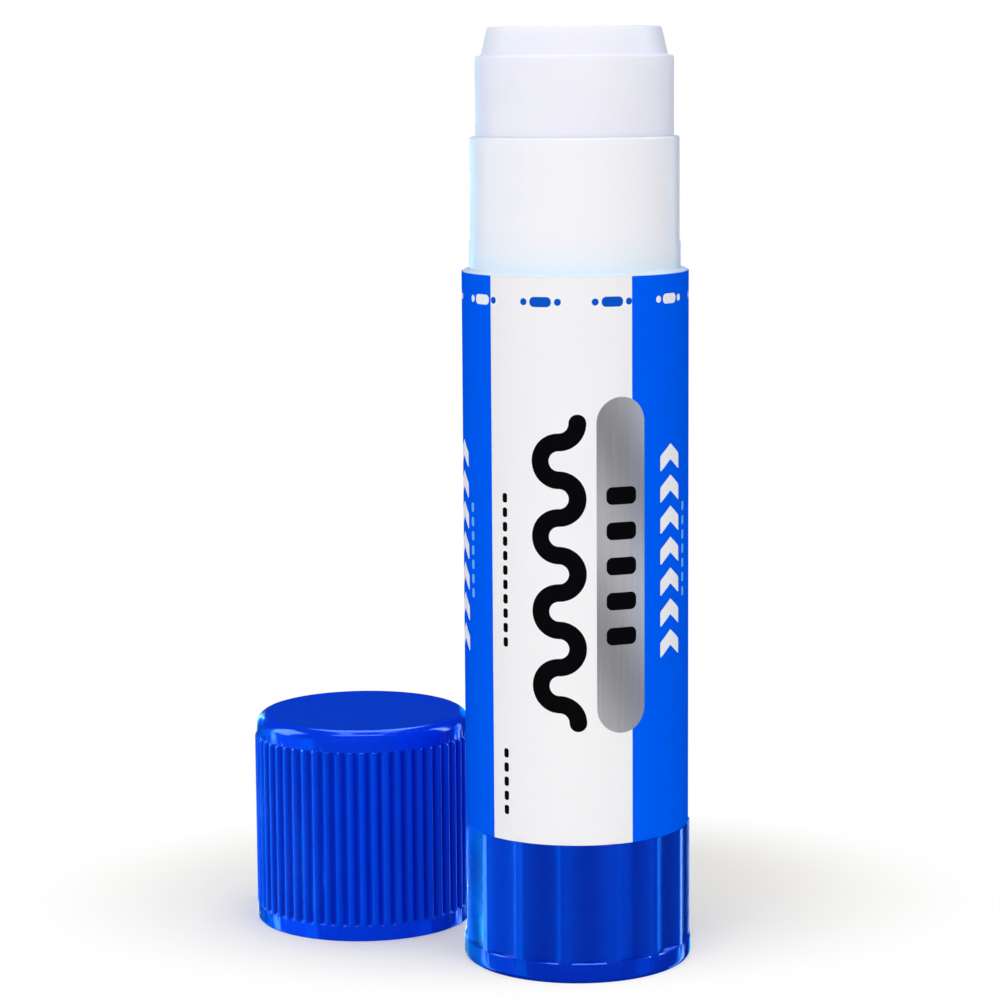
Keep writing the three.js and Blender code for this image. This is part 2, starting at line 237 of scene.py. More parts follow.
gloss_card("crown_left_card", (-0.55, 0.1, 0.33), 0.28, 0.4, 8, PALE_TINT)
gloss_card("crown_right_card", (0.55, 0.1, 0.33), 0.28, 0.4, 11, PALE_TINT)
gloss_card("crown_back_card", (-0.02, 0.42, 0.66), 0.36, 0.4, 5, PALE_TINT)

# %% [markdown]
# ## Paper floor
#
# The stick stands on white paper that curves up behind it, out of sight. Only its soft shadows
# show. A flat sheet is enough: near the stick it is lit paper, and further out it turns into the
# plain white of the background. Gloss doesn't see it, because it would cut off the upright cards.

# %% Floor
FLOOR_RADIUS = 1.5
FLOOR_MIDDLE = (0, 1.25, -0.02 * MM)
SHADOW_MIDDLE = (-0.01, 0.032)
SHADOW_WIDTH = 1.33
LIT_REACH = 0.025
FADE_END = 0.055
PAPER_GLOW = 0.18
PAPER_WHITE = "#FFFCEE"

bpy.ops.mesh.primitive_circle_add(
    vertices=128, radius=FLOOR_RADIUS, fill_type="NGON", location=FLOOR_MIDDLE
)
floor = bpy.context.object
floor.name = "paper_floor"
floor.visible_glossy = False

paper = bpy.data.materials.new("white_paper")
paper.use_nodes = True
paper.cycles.emission_sampling = "NONE"
tree = paper.node_tree
tree.nodes.clear()
rays = add(tree, "LightPath").node.outputs
lens_rays = {0: rays["Is Camera Ray"], 1: rays["Is Transmission Ray"]}
seen = add(tree, "Math", lens_rays, operation="MAXIMUM")
place = add(tree, "TexCoord", output="Object")
spot = (SHADOW_MIDDLE[0] - FLOOR_MIDDLE[0], SHADOW_MIDDLE[1] - FLOOR_MIDDLE[1], 0)
spot = add(tree, "VectorMath", {0: place, 1: spot}, operation="SUBTRACT")
spot = add(tree, "VectorMath", {0: spot, 1: (1 / SHADOW_WIDTH, 1, 1)}, operation="MULTIPLY")
reach = add(tree, "VectorMath", {0: spot}, output="Value", operation="LENGTH")
fade = {1: LIT_REACH, 2: FADE_END, 3: PAPER_GLOW, 4: 1}
far = add(tree, "MapRange", {0: reach, **fade}, interpolation_type="SMOOTHSTEP")
share = add(tree, "Math", {0: far, 1: seen}, operation="MULTIPLY")
lit = add(tree, "BsdfDiffuse", {"Color": colour(PAPER_WHITE)})
plain = add(tree, "Emission", {"Color": colour(PLAIN_WHITE), "Strength": 1})
surface = add(tree, "MixShader", {0: share, 1: lit, 2: plain})
add(tree, "OutputMaterial", {"Surface": surface})
floor.data.materials.append(paper)
print("floor:", 2 * FLOOR_RADIUS, "m wide")

# %% [markdown]
# ## Turned shapes
#
# Every piece of a glue stick is round, so each starts as a circle, and the circle is extruded and
# resized through the corners of the piece's outline, ring by ring, as one would do by hand. Corners
# are then rounded with a bevel along a whole ring. Spin would do the same, but it leaves a seam to
# merge. Flutes, ribs and grooves are pressed into chosen columns of a finished ring.

# %% Helpers for rings
def start_ring(name, columns, radius, level, centre=(0, 0), turn=0):
    """Begin a piece as a circle, with its first column turned from +Y towards +X, in edit mode."""
    bpy.ops.object.select_all(action="DESELECT")
    bpy.ops.mesh.primitive_circle_add(
        vertices=columns, radius=radius, location=(*centre, level), rotation=(0, 0, -turn)
    )
    bpy.ops.object.transform_apply(location=True, rotation=True, scale=True)
    piece = bpy.context.object
    piece.name = name
    piece.data.name = name
    bpy.ops.object.mode_set(mode="EDIT")
    bpy.ops.mesh.select_all(action="SELECT")
    return piece


def raise_rings(outline, centre=(0, 0)):
    """Extrude the chosen ring through an outline of (radius, level) points."""
    radius, level = outline[0]
    for next_radius, next_level in outline[1:]:
        rise = (0, 0, next_level - level)
        share = next_radius / radius
        bpy.ops.mesh.extrude_region_move(TRANSFORM_OT_translate={"value": rise})
        bpy.ops.transform.resize(value=(share, share, 1), center_override=(*centre, next_level))
        radius, level = next_radius, next_level


print("rings can be drawn")

# %% [markdown]
# An operator acts on what is selected, so the next helpers select vertices by their place: by
# radius, by level and by the angle round the axis. Two places count as the same when they are
# closer than a few thousandths of a millimetre.

# %% Helpers for corners
TOUCH = 0.004 * MM
DISC_RIM = 0.3 * MM


def choose(piece, test, centre=(0, 0)):
    """Select the vertices that pass a test of radius, level and angle from +Y towards +X."""
    mesh = bmesh.from_edit_mesh(piece.data)
    mesh.select_mode = {"VERT"}
    count = 0
    for vertex in mesh.verts:
        x, y = vertex.co.x - centre[0], vertex.co.y - centre[1]
        vertex.select = test(math.hypot(x, y), vertex.co.z, math.atan2(x, y))
        count += vertex.select
    mesh.select_flush_mode()
    bmesh.update_edit_mesh(piece.data)
    return count


def choose_ring(piece, radius, level, centre=(0, 0)):
    """Select one ring by its place."""
    return choose(piece, lambda r, z, a: abs(r - radius) < TOUCH and abs(z - level) < TOUCH, centre)


def round_corner(piece, radius, level, size, centre=(0, 0), segments=4):
    """Round the corner that a ring makes with a bevel of that size."""
    choose_ring(piece, radius, level, centre)
    bpy.ops.mesh.bevel(offset=size, offset_type="OFFSET", segments=segments, affect="EDGES")


def close_ring(piece, radius, level, centre=(0, 0)):
    """Close an open ring with a disc, which keeps a narrow rim so that its shading stays flat."""
    choose_ring(piece, radius, level, centre)
    bpy.ops.mesh.extrude_region_move(TRANSFORM_OT_translate={"value": (0, 0, 0)})
    share = 1 - DISC_RIM / radius
    bpy.ops.transform.resize(value=(share, share, 1), center_override=(*centre, level))
    bpy.ops.mesh.edge_face_add()


print("rings can be chosen, rounded and closed")

# %% [markdown]
# A relief round the axis repeats, so a helper goes through the columns of one repeat and resizes
# all the columns that are alike at once. Resizing moves them towards the axis or away from it.

# %% Helpers for relief and shading
NO_CHANGE = 1e-7


def press(piece, repeats, steps, relief, inside, centre=(0, 0), turn=0):
    """Press a relief that repeats round the axis. A repeat has that many steps of columns, relief
    gives the scale of a column's radius by its angle from the middle of a repeat, and inside says
    by radius and level which rings are pressed."""
    pitch = 2 * math.pi / repeats
    step = pitch / steps
    for column in range(steps // 2 + 1):
        share = relief(column * step)

        def here(radius, level, angle):
            offset = (angle - turn) % pitch
            return inside(radius, level) and abs(min(offset, pitch - offset) - column * step) < step / 4

        if abs(share - 1) > NO_CHANGE and choose(piece, here, centre):
            bpy.ops.transform.resize(value=(share, share, 1), center_override=(*centre, 0))


def finish_piece(piece, sharp=35):
    """Leave edit mode with clean normals, and smooth all but the sharp edges."""
    bpy.ops.mesh.select_all(action="SELECT")
    bpy.ops.mesh.remove_doubles(threshold=TOUCH / 2)
    bpy.ops.mesh.normals_make_consistent(inside=False)
    bpy.ops.object.mode_set(mode="OBJECT")
    bpy.ops.object.shade_smooth_by_angle(angle=math.radians(sharp))
    bpy.ops.object.modifier_add(type="WEIGHTED_NORMAL")
    piece.modifiers[-1].keep_sharp = True
    bpy.ops.object.modifier_apply(modifier=piece.modifiers[-1].name)
    print(piece.name, "has", len(piece.data.polygons), "faces")


print("relief can be pressed, and a piece finished")

# %% [markdown]
# ## Glue
#
# The glue is a soap-like stick, cast inside the barrel round the spindle. A seal in the cap shapes
# its end to a shoulder and a short cone. Its corners are crisp but never sharp, because the glue is
# soft, so they get a small bevel. Below, it sits in the carrier's cup and has a blind hole.

# %% Glue core
GLUE_COLUMNS = 160
GLUE_HOLE = 4.2 * MM
GLUE_HOLE_TOP = 106.2 * MM
GLUE_IN_CUP = 11.98 * MM
CUP_TOP = 55.15 * MM
GLUE_SHOULDER = 121.0 * MM
TIP_FOOT = 12.28 * MM
TIP_RADIUS = 11.38 * MM
GLUE_CORNERS = {5: 0.35 * MM, 6: 0.25 * MM, 7: 0.3 * MM}

glue_low, glue_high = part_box("glue_core")
glue_radius = glue_high.x
outline = [
    (GLUE_HOLE, GLUE_HOLE_TOP),
    (GLUE_HOLE, glue_low.z),
    (GLUE_IN_CUP, glue_low.z),
    (GLUE_IN_CUP, CUP_TOP),
    (glue_radius, CUP_TOP),
    (glue_radius, GLUE_SHOULDER),
    (TIP_FOOT, GLUE_SHOULDER),
    (TIP_RADIUS, glue_high.z),
]
glue = start_ring("glue_stick_core", GLUE_COLUMNS, *outline[0])
raise_rings(outline)
close_ring(glue, *outline[0])
close_ring(glue, *outline[-1])
for corner, size in GLUE_CORNERS.items():
    round_corner(glue, *outline[corner], size)
finish_piece(glue)
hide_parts("glue_core")
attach(glue, "carriage")

# %% [markdown]
# ## Barrel
#
# The barrel and its neck are one moulding of milky polypropylene. Most of it hides under the film.
# What shows is the neck with its rounded rim, a slightly wider foot, and the shoulder above the
# film. Inside run a snap groove for the knob and four grooves for the carrier's keys, which are
# pressed into columns of the bore.

# %% Barrel
BARREL_COLUMNS = 240
BORE = 13.13 * MM
SHOULDER = 93.2 * MM
NECK_RADIUS = 13.78 * MM
NECK_FOOT_RADIUS = 13.93 * MM
NECK_FOOT_TOP = 96.6 * MM
NECK_FOOT_SLOPE = 0.3 * MM
SNAP_LEVEL = 21.2 * MM
SNAP_DEPTH = 0.3 * MM
SNAP_GROOVE_HALF = 0.7 * MM
SNAP_FLAT_HALF = 0.2 * MM
KEY_GROOVE_REACH = 13.73 * MM
KEY_GROOVE_HALF = 1.2 * MM
KEY_GROOVE_TOP = 92.8 * MM
BARREL_CORNERS = {1: 0.3 * MM, 2: 0.25 * MM, 5: 0.3 * MM, 6: 0.12 * MM}

barrel_low, barrel_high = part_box("barrel")
barrel_radius = barrel_high.x
outline = [
    (barrel_radius, barrel_low.z),
    (barrel_radius, SHOULDER),
    (NECK_FOOT_RADIUS, SHOULDER),
    (NECK_FOOT_RADIUS, NECK_FOOT_TOP),
    (NECK_RADIUS, NECK_FOOT_TOP + NECK_FOOT_SLOPE),
    (NECK_RADIUS, barrel_high.z),
    (BORE, barrel_high.z),
    (BORE, KEY_GROOVE_TOP + TOUCH * 2),
    (BORE, KEY_GROOVE_TOP),
    (BORE, SNAP_LEVEL + SNAP_GROOVE_HALF),
    (BORE + SNAP_DEPTH, SNAP_LEVEL + SNAP_FLAT_HALF),
    (BORE + SNAP_DEPTH, SNAP_LEVEL - SNAP_FLAT_HALF),
    (BORE, SNAP_LEVEL - SNAP_GROOVE_HALF),
    (BORE, barrel_low.z),
    (barrel_radius, barrel_low.z),
]
barrel = start_ring("neck_and_barrel", BARREL_COLUMNS, *outline[0])
raise_rings(outline)
bpy.ops.mesh.select_all(action="SELECT")
bpy.ops.mesh.remove_doubles(threshold=TOUCH / 2)
press(
    barrel, 4, BARREL_COLUMNS // 4,
    lambda angle: KEY_GROOVE_REACH / BORE if angle * BORE <= KEY_GROOVE_HALF else 1,
    lambda radius, level: radius < BORE + TOUCH and level < KEY_GROOVE_TOP + TOUCH,
    turn=math.pi / 4,
)
for corner, size in BARREL_CORNERS.items():
    round_corner(barrel, *outline[corner], size)
finish_piece(barrel)
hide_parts("barrel")
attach(barrel, "body")

# %% [markdown]
# ## Printed film
#
# The label is a film of 0.16 mm that is wrapped round the barrel and overlaps itself a little at
# the side that isn't photographed. The overlap is a small step with a slope that runs out again,
# pressed into the columns next to the seam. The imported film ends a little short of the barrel's
# foot. Here it reaches down to it, so that no white line shows above the knob.

# %% Film
FILM_COLUMNS = 360
FILM_INSIDE = 14.85 * MM
FILM_OVERHANG = 0.1 * MM
SEAM_ANGLE = math.radians(40)
SEAM_STEP = 0.07 * MM
SEAM_RUN = math.radians(12)

film_low, film_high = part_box("wrap_label")
film_radius = film_high.x
film_foot = film_low.z - FILM_OVERHANG
outline = [
    (FILM_INSIDE, film_foot),
    (film_radius, film_foot),
    (film_radius, film_high.z),
    (FILM_INSIDE, film_high.z),
    (FILM_INSIDE, film_foot),
]
film = start_ring("printed_wrap", FILM_COLUMNS, *outline[0])
raise_rings(outline)
bpy.ops.mesh.select_all(action="SELECT")
bpy.ops.mesh.remove_doubles(threshold=TOUCH / 2)
one_column = 2 * math.pi / FILM_COLUMNS
for column in range(1, round(SEAM_RUN / one_column)):
    angle = SEAM_ANGLE + column * one_column
    sunk = SEAM_STEP * (1 - column * one_column / SEAM_RUN)
    choose(film, lambda r, z, a: r > film_radius - TOUCH and abs(a - angle) < one_column / 4)
    share = 1 - sunk / film_radius
    bpy.ops.transform.resize(value=(share, share, 1), center_override=(0, 0, 0))
finish_piece(film)
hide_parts("wrap_label")
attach(film, "body")

# %% [markdown]
# ## Knob
#
# The knob is a deep cup of blue polypropylene with fifteen shallow flutes for the fingers and a
# plain ring at its foot. Each flute is a soft scoop between two narrow lands. A ring of 720 columns
# has two columns for each degree, so a flute of 20 degrees and a land of 4 fill a repeat exactly,
# and the mirrored lines stay smooth. Below each land the ring's top edge drops a little, which
# leaves the bright dashes on the ledge. The skirt ends just below the barrel, closer than the packed
# one, because a gap would show as a dark line.

# %% Knob
KNOB_COLUMNS = 720
FLUTES = 15
FLUTE_TURN = math.radians(-4.6)
FLUTE_HALF = math.radians(10)
FLUTE_DEPTH = 0.5 * MM
LAND_RADIUS = 15.19 * MM
RING_TOP = 2.85 * MM
RING_EDGE = 0.85 * MM
LEDGE_EDGE = 0.13 * MM
LAND_HALF = math.radians(2.6)
LAND_DROP = 0.3 * MM
RING_SUPPORT = 0.4 * MM
TOP_SUPPORT = 0.5 * MM
SKIRT_TOP = 18.66 * MM
COLLAR_RADIUS = 12.98 * MM
COLLAR_INSIDE = 11.73 * MM
SNAP_BEAD = 0.3 * MM
SNAP_BEAD_HALF = 0.4 * MM
KNOB_FLOOR = 1.8 * MM
SOCKET_RADIUS = 5.4 * MM
SOCKET_TOP = 12 * MM
SOCKET_HOLE = 3.85 * MM
SOCKET_BOTTOM = 3 * MM
FOOT_GROOVE = (10.63 * MM, 11.43 * MM)
FOOT_GROOVE_DEPTH = 0.4 * MM

knob_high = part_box("twist_knob")[1]
ring_radius = knob_high.x
outline = [
    (FOOT_GROOVE[0], 0),
    (FOOT_GROOVE[0], FOOT_GROOVE_DEPTH),
    (FOOT_GROOVE[1], FOOT_GROOVE_DEPTH),
    (FOOT_GROOVE[1], 0),
    (ring_radius, 0),
    (ring_radius, RING_TOP),
    (LAND_RADIUS, RING_TOP),
    (LAND_RADIUS, RING_TOP + RING_SUPPORT),
    (LAND_RADIUS, SKIRT_TOP - TOP_SUPPORT),
    (LAND_RADIUS, SKIRT_TOP),
    (COLLAR_RADIUS, SKIRT_TOP),
    (COLLAR_RADIUS, SNAP_LEVEL - SNAP_BEAD_HALF),
    (COLLAR_RADIUS + SNAP_BEAD, SNAP_LEVEL),
    (COLLAR_RADIUS, SNAP_LEVEL + SNAP_BEAD_HALF),
    (COLLAR_RADIUS, knob_high.z - SNAP_BEAD),
    (COLLAR_RADIUS - SNAP_BEAD, knob_high.z),
    (COLLAR_INSIDE, knob_high.z),
    (COLLAR_INSIDE, KNOB_FLOOR),
    (SOCKET_RADIUS, KNOB_FLOOR),
    (SOCKET_RADIUS, SOCKET_TOP),
    (SOCKET_HOLE, SOCKET_TOP),
    (SOCKET_HOLE, SOCKET_BOTTOM),
]
knob = start_ring("fluted_knob", KNOB_COLUMNS, *outline[0], turn=FLUTE_TURN)
raise_rings(outline)
close_ring(knob, *outline[0])
close_ring(knob, *outline[-1])
print("the knob's outline has", len(outline), "corners")


# %% Flutes
def flute(angle):
    """A column's scale in a repeat whose middle is the deepest line of a flute."""
    across = angle / FLUTE_HALF
    return 1 - FLUTE_DEPTH / LAND_RADIUS * max(0, 1 - across * across)


def on_skirt(radius, level):
    """Whether a ring is one of the skirt's outer wall."""
    return abs(radius - LAND_RADIUS) < TOUCH and level >= RING_TOP - TOUCH


def at_land_edge(radius, level, angle):
    """Whether a vertex lies on the ring's top edge below a land between two flutes."""
    on_edge = radius > ring_radius - TOUCH and abs(level - RING_TOP + LEDGE_EDGE) < TOUCH
    return on_edge and (angle - FLUTE_TURN + LAND_HALF) % (2 * math.pi / FLUTES) < 2 * LAND_HALF


flute_middle = FLUTE_TURN + math.pi / FLUTES
press(knob, FLUTES, KNOB_COLUMNS // FLUTES, flute, on_skirt, turn=flute_middle)
round_corner(knob, *outline[4], RING_EDGE, segments=6)
round_corner(knob, *outline[5], LEDGE_EDGE, segments=1)
choose(knob, at_land_edge)
bpy.ops.transform.translate(value=(0, 0, -LAND_DROP))
finish_piece(knob)
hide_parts("twist_knob")
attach(knob, "drive")

# %% [markdown]
# ## Cap
#
# The cap is a thimble of the same blue. Its mouth is a plain band, its crown is a slightly narrower
# band with a wide round corner round a sunk top, and between them stand 56 ribs. A rib rises a
# little from the band and the grooves beside it are sunk. At the foot both run out in a short
# slope, and at the head a rib ends in a round nose that stands proud of the crown. The ribs could
# be an array of one modelled rib, but pressing them into the ring leaves no seams.

# %% Cap
CAP_RIBS = 56
RIB_STEPS = 12
RIB_TURN_STEPS = -3
CAP_BAND = 15.19 * MM
CROWN_BAND = 15.0 * MM
CAP_INSIDE = 14.05 * MM
CAP_CROWN_UNDERSIDE = 28.0 * MM
RIB_BOTTOM = 2.1 * MM
RIB_TOP = 26.6 * MM
RIB_PROUD = 0.12 * MM
RIB_SUNK = 0.4 * MM
RIB_ROUNDNESS = 1.3
RIB_FOOT = [(0, 0), (0.12, 0.5), (0.3, 0.8), (0.55, 1)]
RIB_HEAD = [(0.7, 1), (0.45, 0.92), (0.25, 0.75), (0.1, 0.45), (0, 0)]
CAP_CORNER = 1.7 * MM
CROWN_MIDDLE = 5 * MM
DISH_RADIUS = 12.77 * MM
DISH_DEPTH = 0.3 * MM
DISH_SLOPE = 1 * MM
DISH_SLOPE_DEPTH = 0.18 * MM
DISH_EDGE = 0.5 * MM
MOUTH_EDGE = 0.2 * MM

cap_low, cap_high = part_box("cap_shell")
cap_centre = ((cap_low.x + cap_high.x) / 2, (cap_low.y + cap_high.y) / 2)
rib_rows = [(RIB_BOTTOM + rise * MM, share, CAP_BAND) for rise, share in RIB_FOOT]
for drop, share in RIB_HEAD:
    rib_rows.append((RIB_TOP - drop * MM, share, CROWN_BAND + share * (CAP_BAND - CROWN_BAND)))
outline = [
    (CROWN_MIDDLE, CAP_CROWN_UNDERSIDE),
    (CAP_INSIDE, CAP_CROWN_UNDERSIDE),
    (CAP_INSIDE, 0),
    (CAP_BAND, 0),
    *[(band, level) for level, share, band in rib_rows],
    (CROWN_BAND, cap_high.z),
    (DISH_RADIUS, cap_high.z),
    (DISH_RADIUS - DISH_SLOPE, cap_high.z - DISH_SLOPE_DEPTH),
    (CROWN_MIDDLE, cap_high.z - DISH_DEPTH),
]
cap = start_ring("ribbed_cap", CAP_RIBS * RIB_STEPS, *outline[0], centre=cap_centre)
raise_rings(outline, cap_centre)
close_ring(cap, *outline[0], cap_centre)
close_ring(cap, *outline[-1], cap_centre)
print("the cap stands at", [round(side / MM, 1) for side in cap_centre], "mm")

# %% Ribs
rib_turn = 2 * math.pi / CAP_RIBS * RIB_TURN_STEPS / RIB_STEPS
for row_level, row_share, row_band in rib_rows:
    if row_share == 0:
        continue

    def rib(angle):
        """A round rib in the middle of a repeat, with sunk grooves at its ends."""
        across = angle * CAP_RIBS / math.pi
        fall = (0.5 - 0.5 * math.cos(math.pi * across)) ** RIB_ROUNDNESS
        height = RIB_PROUD - (RIB_PROUD + RIB_SUNK) * fall
        return 1 + row_share * height / row_band

    def on_row(radius, level):
        """Whether a ring is this row of the outer wall."""
        return radius > CAP_INSIDE + TOUCH and abs(level - row_level) < TOUCH

    press(cap, CAP_RIBS, RIB_STEPS, rib, on_row, cap_centre, rib_turn)
round_corner(cap, CROWN_BAND, cap_high.z, CAP_CORNER, cap_centre, segments=8)
round_corner(cap, DISH_RADIUS, cap_high.z, DISH_EDGE, cap_centre)
round_corner(cap, CAP_BAND, 0, MOUTH_EDGE, cap_centre, segments=3)
finish_piece(cap)
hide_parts("cap_shell")
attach(cap, "cap")

# %% [markdown]
# ## Seal in the cap
#
# A thin seal hides in the cap. Its flange closes over the neck's rim and its cone shapes the end of
# the glue. It is the same kind of turned shape, with small moulded corners.

# %% Seal
SEAL_COLUMNS = 128
SEAL_MIDDLE = 3 * MM
SEAL_RADIUS = 14.0 * MM
SEAL_SEAT = 17.15 * MM
SEAL_FLANGE_TOP = 18.35 * MM
CONE_FOOT = 12.58 * MM
CONE_TIP = 11.68 * MM
CONE_TOP = 21.15 * MM
SEAL_WALL = 0.8 * MM
POST_RADIUS = 9.4 * MM
POST_INSIDE = 8.4 * MM
SEAL_EDGE = 0.2 * MM

seal_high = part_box("tip_seal")[1]
outline = [
    (SEAL_MIDDLE, CONE_TOP),
    (CONE_TIP, CONE_TOP),
    (CONE_FOOT, SEAL_SEAT),
    (SEAL_RADIUS, SEAL_SEAT),
    (SEAL_RADIUS, SEAL_FLANGE_TOP),
    (CONE_FOOT + SEAL_WALL, SEAL_FLANGE_TOP),
    (CONE_TIP + SEAL_WALL, CONE_TOP + SEAL_WALL),
    (POST_RADIUS, CONE_TOP + SEAL_WALL),
    (POST_RADIUS, seal_high.z),
    (POST_INSIDE, seal_high.z),
    (POST_INSIDE, CONE_TOP + SEAL_WALL),
    (SEAL_MIDDLE, CONE_TOP + SEAL_WALL),
]
seal = start_ring("cap_tip_seal", SEAL_COLUMNS, *outline[0], centre=cap_centre)
raise_rings(outline, cap_centre)
close_ring(seal, *outline[0], cap_centre)
close_ring(seal, *outline[-1], cap_centre)
for corner in (1, 6):
    round_corner(seal, *outline[corner], SEAL_EDGE, cap_centre, segments=3)
finish_piece(seal)
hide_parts("tip_seal")
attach(seal, "cap")

# %% [markdown]
# ## Finishes
#
# All the finishes are plastics, print and soap, so each is one Principled shader. Its plain sockets
# hold typical values, and only what varies over the surface comes from nodes. Patterns are worked
# out in millimetres from Object coordinates, so the scale of one is 1 by the size of its grain.
# Grain as fine as the real one wouldn't show, so each is drawn as coarse as the picture needs.

# %% Helpers for a finish
def new_finish(name, sockets):
    """A material with a Principled shader whose sockets are set by name."""
    finish = bpy.data.materials.new(name)
    finish.use_nodes = True
    shader = finish.node_tree.nodes["Principled BSDF"]
    for socket, value in sockets.items():
        shader.inputs[socket].default_value = value
    return finish, finish.node_tree, shader


def in_millimetres(tree):
    """The place on the object, in millimetres."""
    place = add(tree, "TexCoord", output="Object")
    return add(tree, "VectorMath", {0: place, "Scale": 1 / MM}, operation="SCALE")


print("finishes follow")

# %% [markdown]
# ### Glue
#
# A glue stick is a soap gel with a polymer in it. Light goes a few millimetres in, so its shading is
# soft and the edges glow a little, with a faint lilac cast. It was cast against a smooth mould and
# has a waxy sheen, with very low waves where it shrank.

# %% Soap glue
GLUE_CLOUD = 8.33
GLUE_WAVE = 2.86
GLUE_WAVE_DEPTH = 0.06 * MM

soap, tree, shader = new_finish("cast_soap_glue", {
    "Roughness": 0.42,
    "IOR": 1.46,
    "Specular IOR Level": 0.15,
    "Subsurface Weight": 0.6,
    "Subsurface Radius": (1.0, 0.85, 1.0),
    "Subsurface Scale": 1.6 * MM,
})
place = in_millimetres(tree)
cloud = add(tree, "TexNoise", {"Vector": place, "Scale": 1 / GLUE_CLOUD, "Detail": 2.0})
tint = add(tree, "Mix", {0: cloud, 6: colour("#EFEEFF"), 7: colour("#F6F6FF")}, **MIX_COLOURS)
tree.links.new(tint, shader.inputs["Base Color"])
waves = add(tree, "TexNoise", {"Vector": place, "Scale": 1 / GLUE_WAVE, "Detail": 3.0})
relief = add(tree, "Bump", {"Height": waves, "Distance": GLUE_WAVE_DEPTH})
tree.links.new(relief, shader.inputs["Normal"])
glue.data.materials.append(soap)
print(soap.name, "is on", glue.name)

# %% [markdown]
# ### Milky polypropylene
#
# The barrel is natural polypropylene with a little white in it. It is slightly cool and lets some light
# through. Just above the film its colour turns light blue, a painted glow of the blue print. The mould
# left it satin.

# %% Milky polypropylene
PAINTED_PRINT_GLOW_LOW = 92
PAINTED_PRINT_GLOW_HIGH = 100
MOULD_GRAIN = 0.833
MOULD_GRAIN_DEPTH = 0.012 * MM

milky, tree, shader = new_finish("moulded_milky_polypropylene", {
    "Roughness": 0.3,
    "IOR": 1.49,
    "Specular IOR Level": 0.15,
    "Subsurface Weight": 0.35,
    "Subsurface Radius": (0.9, 1.0, 1.1),
    "Subsurface Scale": 0.8 * MM,
})
place = in_millimetres(tree)
level = add(tree, "SeparateXYZ", {0: place}, output="Z")
# painted glow: the colour turns light blue from 92 mm up to 100 mm, just above the film
glow = {1: PAINTED_PRINT_GLOW_LOW, 2: PAINTED_PRINT_GLOW_HIGH, 3: 1, 4: 0}
glow = add(tree, "MapRange", {0: level, **glow}, interpolation_type="SMOOTHSTEP")
tint = add(tree, "Mix", {0: glow, 6: colour("#FAFAFF"), 7: colour("#E8F5FF")}, **MIX_COLOURS)
tree.links.new(tint, shader.inputs["Base Color"])
grain = add(tree, "TexNoise", {"Vector": place, "Scale": 1 / MOULD_GRAIN, "Detail": 4.0})
relief = add(tree, "Bump", {"Height": grain, "Distance": MOULD_GRAIN_DEPTH})
tree.links.new(relief, shader.inputs["Normal"])
barrel.data.materials.append(milky)
print(milky.name, "is on", barrel.name)

# %% [markdown]
# ### Print on the film
#
# The film is unrolled first: one axis runs round the barrel in millimetres from the middle of the
# front, the other is the height, and the print repeats after half a turn. Its design is a generic
# one of a few plain motifs. Each motif is a mask, worked out as a distance to its outline. A picture
# wrapped round the film would do the same, but masks stay crisp at any size, and every measure of
# theirs is a number in millimetres.

# %% Helpers for print
def bar(tree, at, centre, size, corner=0.02):
    """The mask of a printed bar on the unrolled film, with corners that have some rounding."""
    inner = (size[0] / 2 - corner, size[1] / 2 - corner, 0)
    offset = add(tree, "VectorMath", {0: at, 1: (*centre, 0)}, operation="SUBTRACT")
    offset = add(tree, "VectorMath", {0: offset}, operation="ABSOLUTE")
    offset = add(tree, "VectorMath", {0: offset, 1: inner}, operation="SUBTRACT")
    offset = add(tree, "VectorMath", {0: offset, 1: (0, 0, 0)}, operation="MAXIMUM")
    gap = add(tree, "VectorMath", {0: offset}, output="Value", operation="LENGTH")
    return add(tree, "Math", {0: gap, 1: corner}, operation="LESS_THAN")


def repeated(tree, at, first, pitch):
    """The unrolled place, folded so that what is drawn round a first place repeats by a pitch."""
    span = [step if step else 1000 for step in pitch]
    offset = add(tree, "VectorMath", {0: at, 1: (*first, 0)}, operation="SUBTRACT")
    high = (span[0] / 2, span[1] / 2, 1)
    low = (-span[0] / 2, -span[1] / 2, -1)
    return add(tree, "VectorMath", {0: offset, 1: high, 2: low}, operation="WRAP")


def row_of_bars(tree, at, middle, size, corner, pitch, count):
    """The mask of an odd count of bars, one above another, round the one in the middle."""
    folded = repeated(tree, at, middle, (0, pitch))
    bars = bar(tree, folded, (0, 0), size, corner)
    row = bar(tree, at, middle, (size[0] + pitch, count * pitch))
    return add(tree, "Math", {0: bars, 1: row}, operation="MULTIPLY")


print("print helpers are ready")

# %% Film unrolled
printed, tree, shader = new_finish("printed_label_film", {
    "Roughness": 0.4,
    "IOR": 1.5,
    "Specular IOR Level": 0.0,
})
film_reach = film_radius / MM
half_turn = math.pi * film_reach
place = in_millimetres(tree)
axes = add(tree, "SeparateXYZ", {0: place}).node.outputs
back = add(tree, "Math", {0: axes["Y"], 1: -1}, operation="MULTIPLY")
angle = add(tree, "Math", {0: axes["X"], 1: back}, operation="ARCTAN2")
round_film = add(tree, "Math", {0: angle, 1: film_reach}, operation="MULTIPLY")
round_film = add(tree, "Math", {0: round_film, 1: half_turn / 2, 2: -half_turn / 2}, operation="WRAP")
at = add(tree, "CombineXYZ", {0: round_film, 1: axes["Z"]})
print("the print repeats after", round(half_turn, 1), "mm")

# %% Ground and panel
PANEL_MIDDLE = (-2.68, 55)
PANEL_SIZE = (19.8, 100)
GROUND_BLUE = "#005FFA"
PANEL_WHITE = "#F2F2F3"

panel = bar(tree, at, PANEL_MIDDLE, PANEL_SIZE)
print_colour = add(
    tree, "Mix", {0: panel, 6: colour(GROUND_BLUE), 7: colour(PANEL_WHITE)}, **MIX_COLOURS
)
print("the panel is", PANEL_SIZE[0], "mm wide")

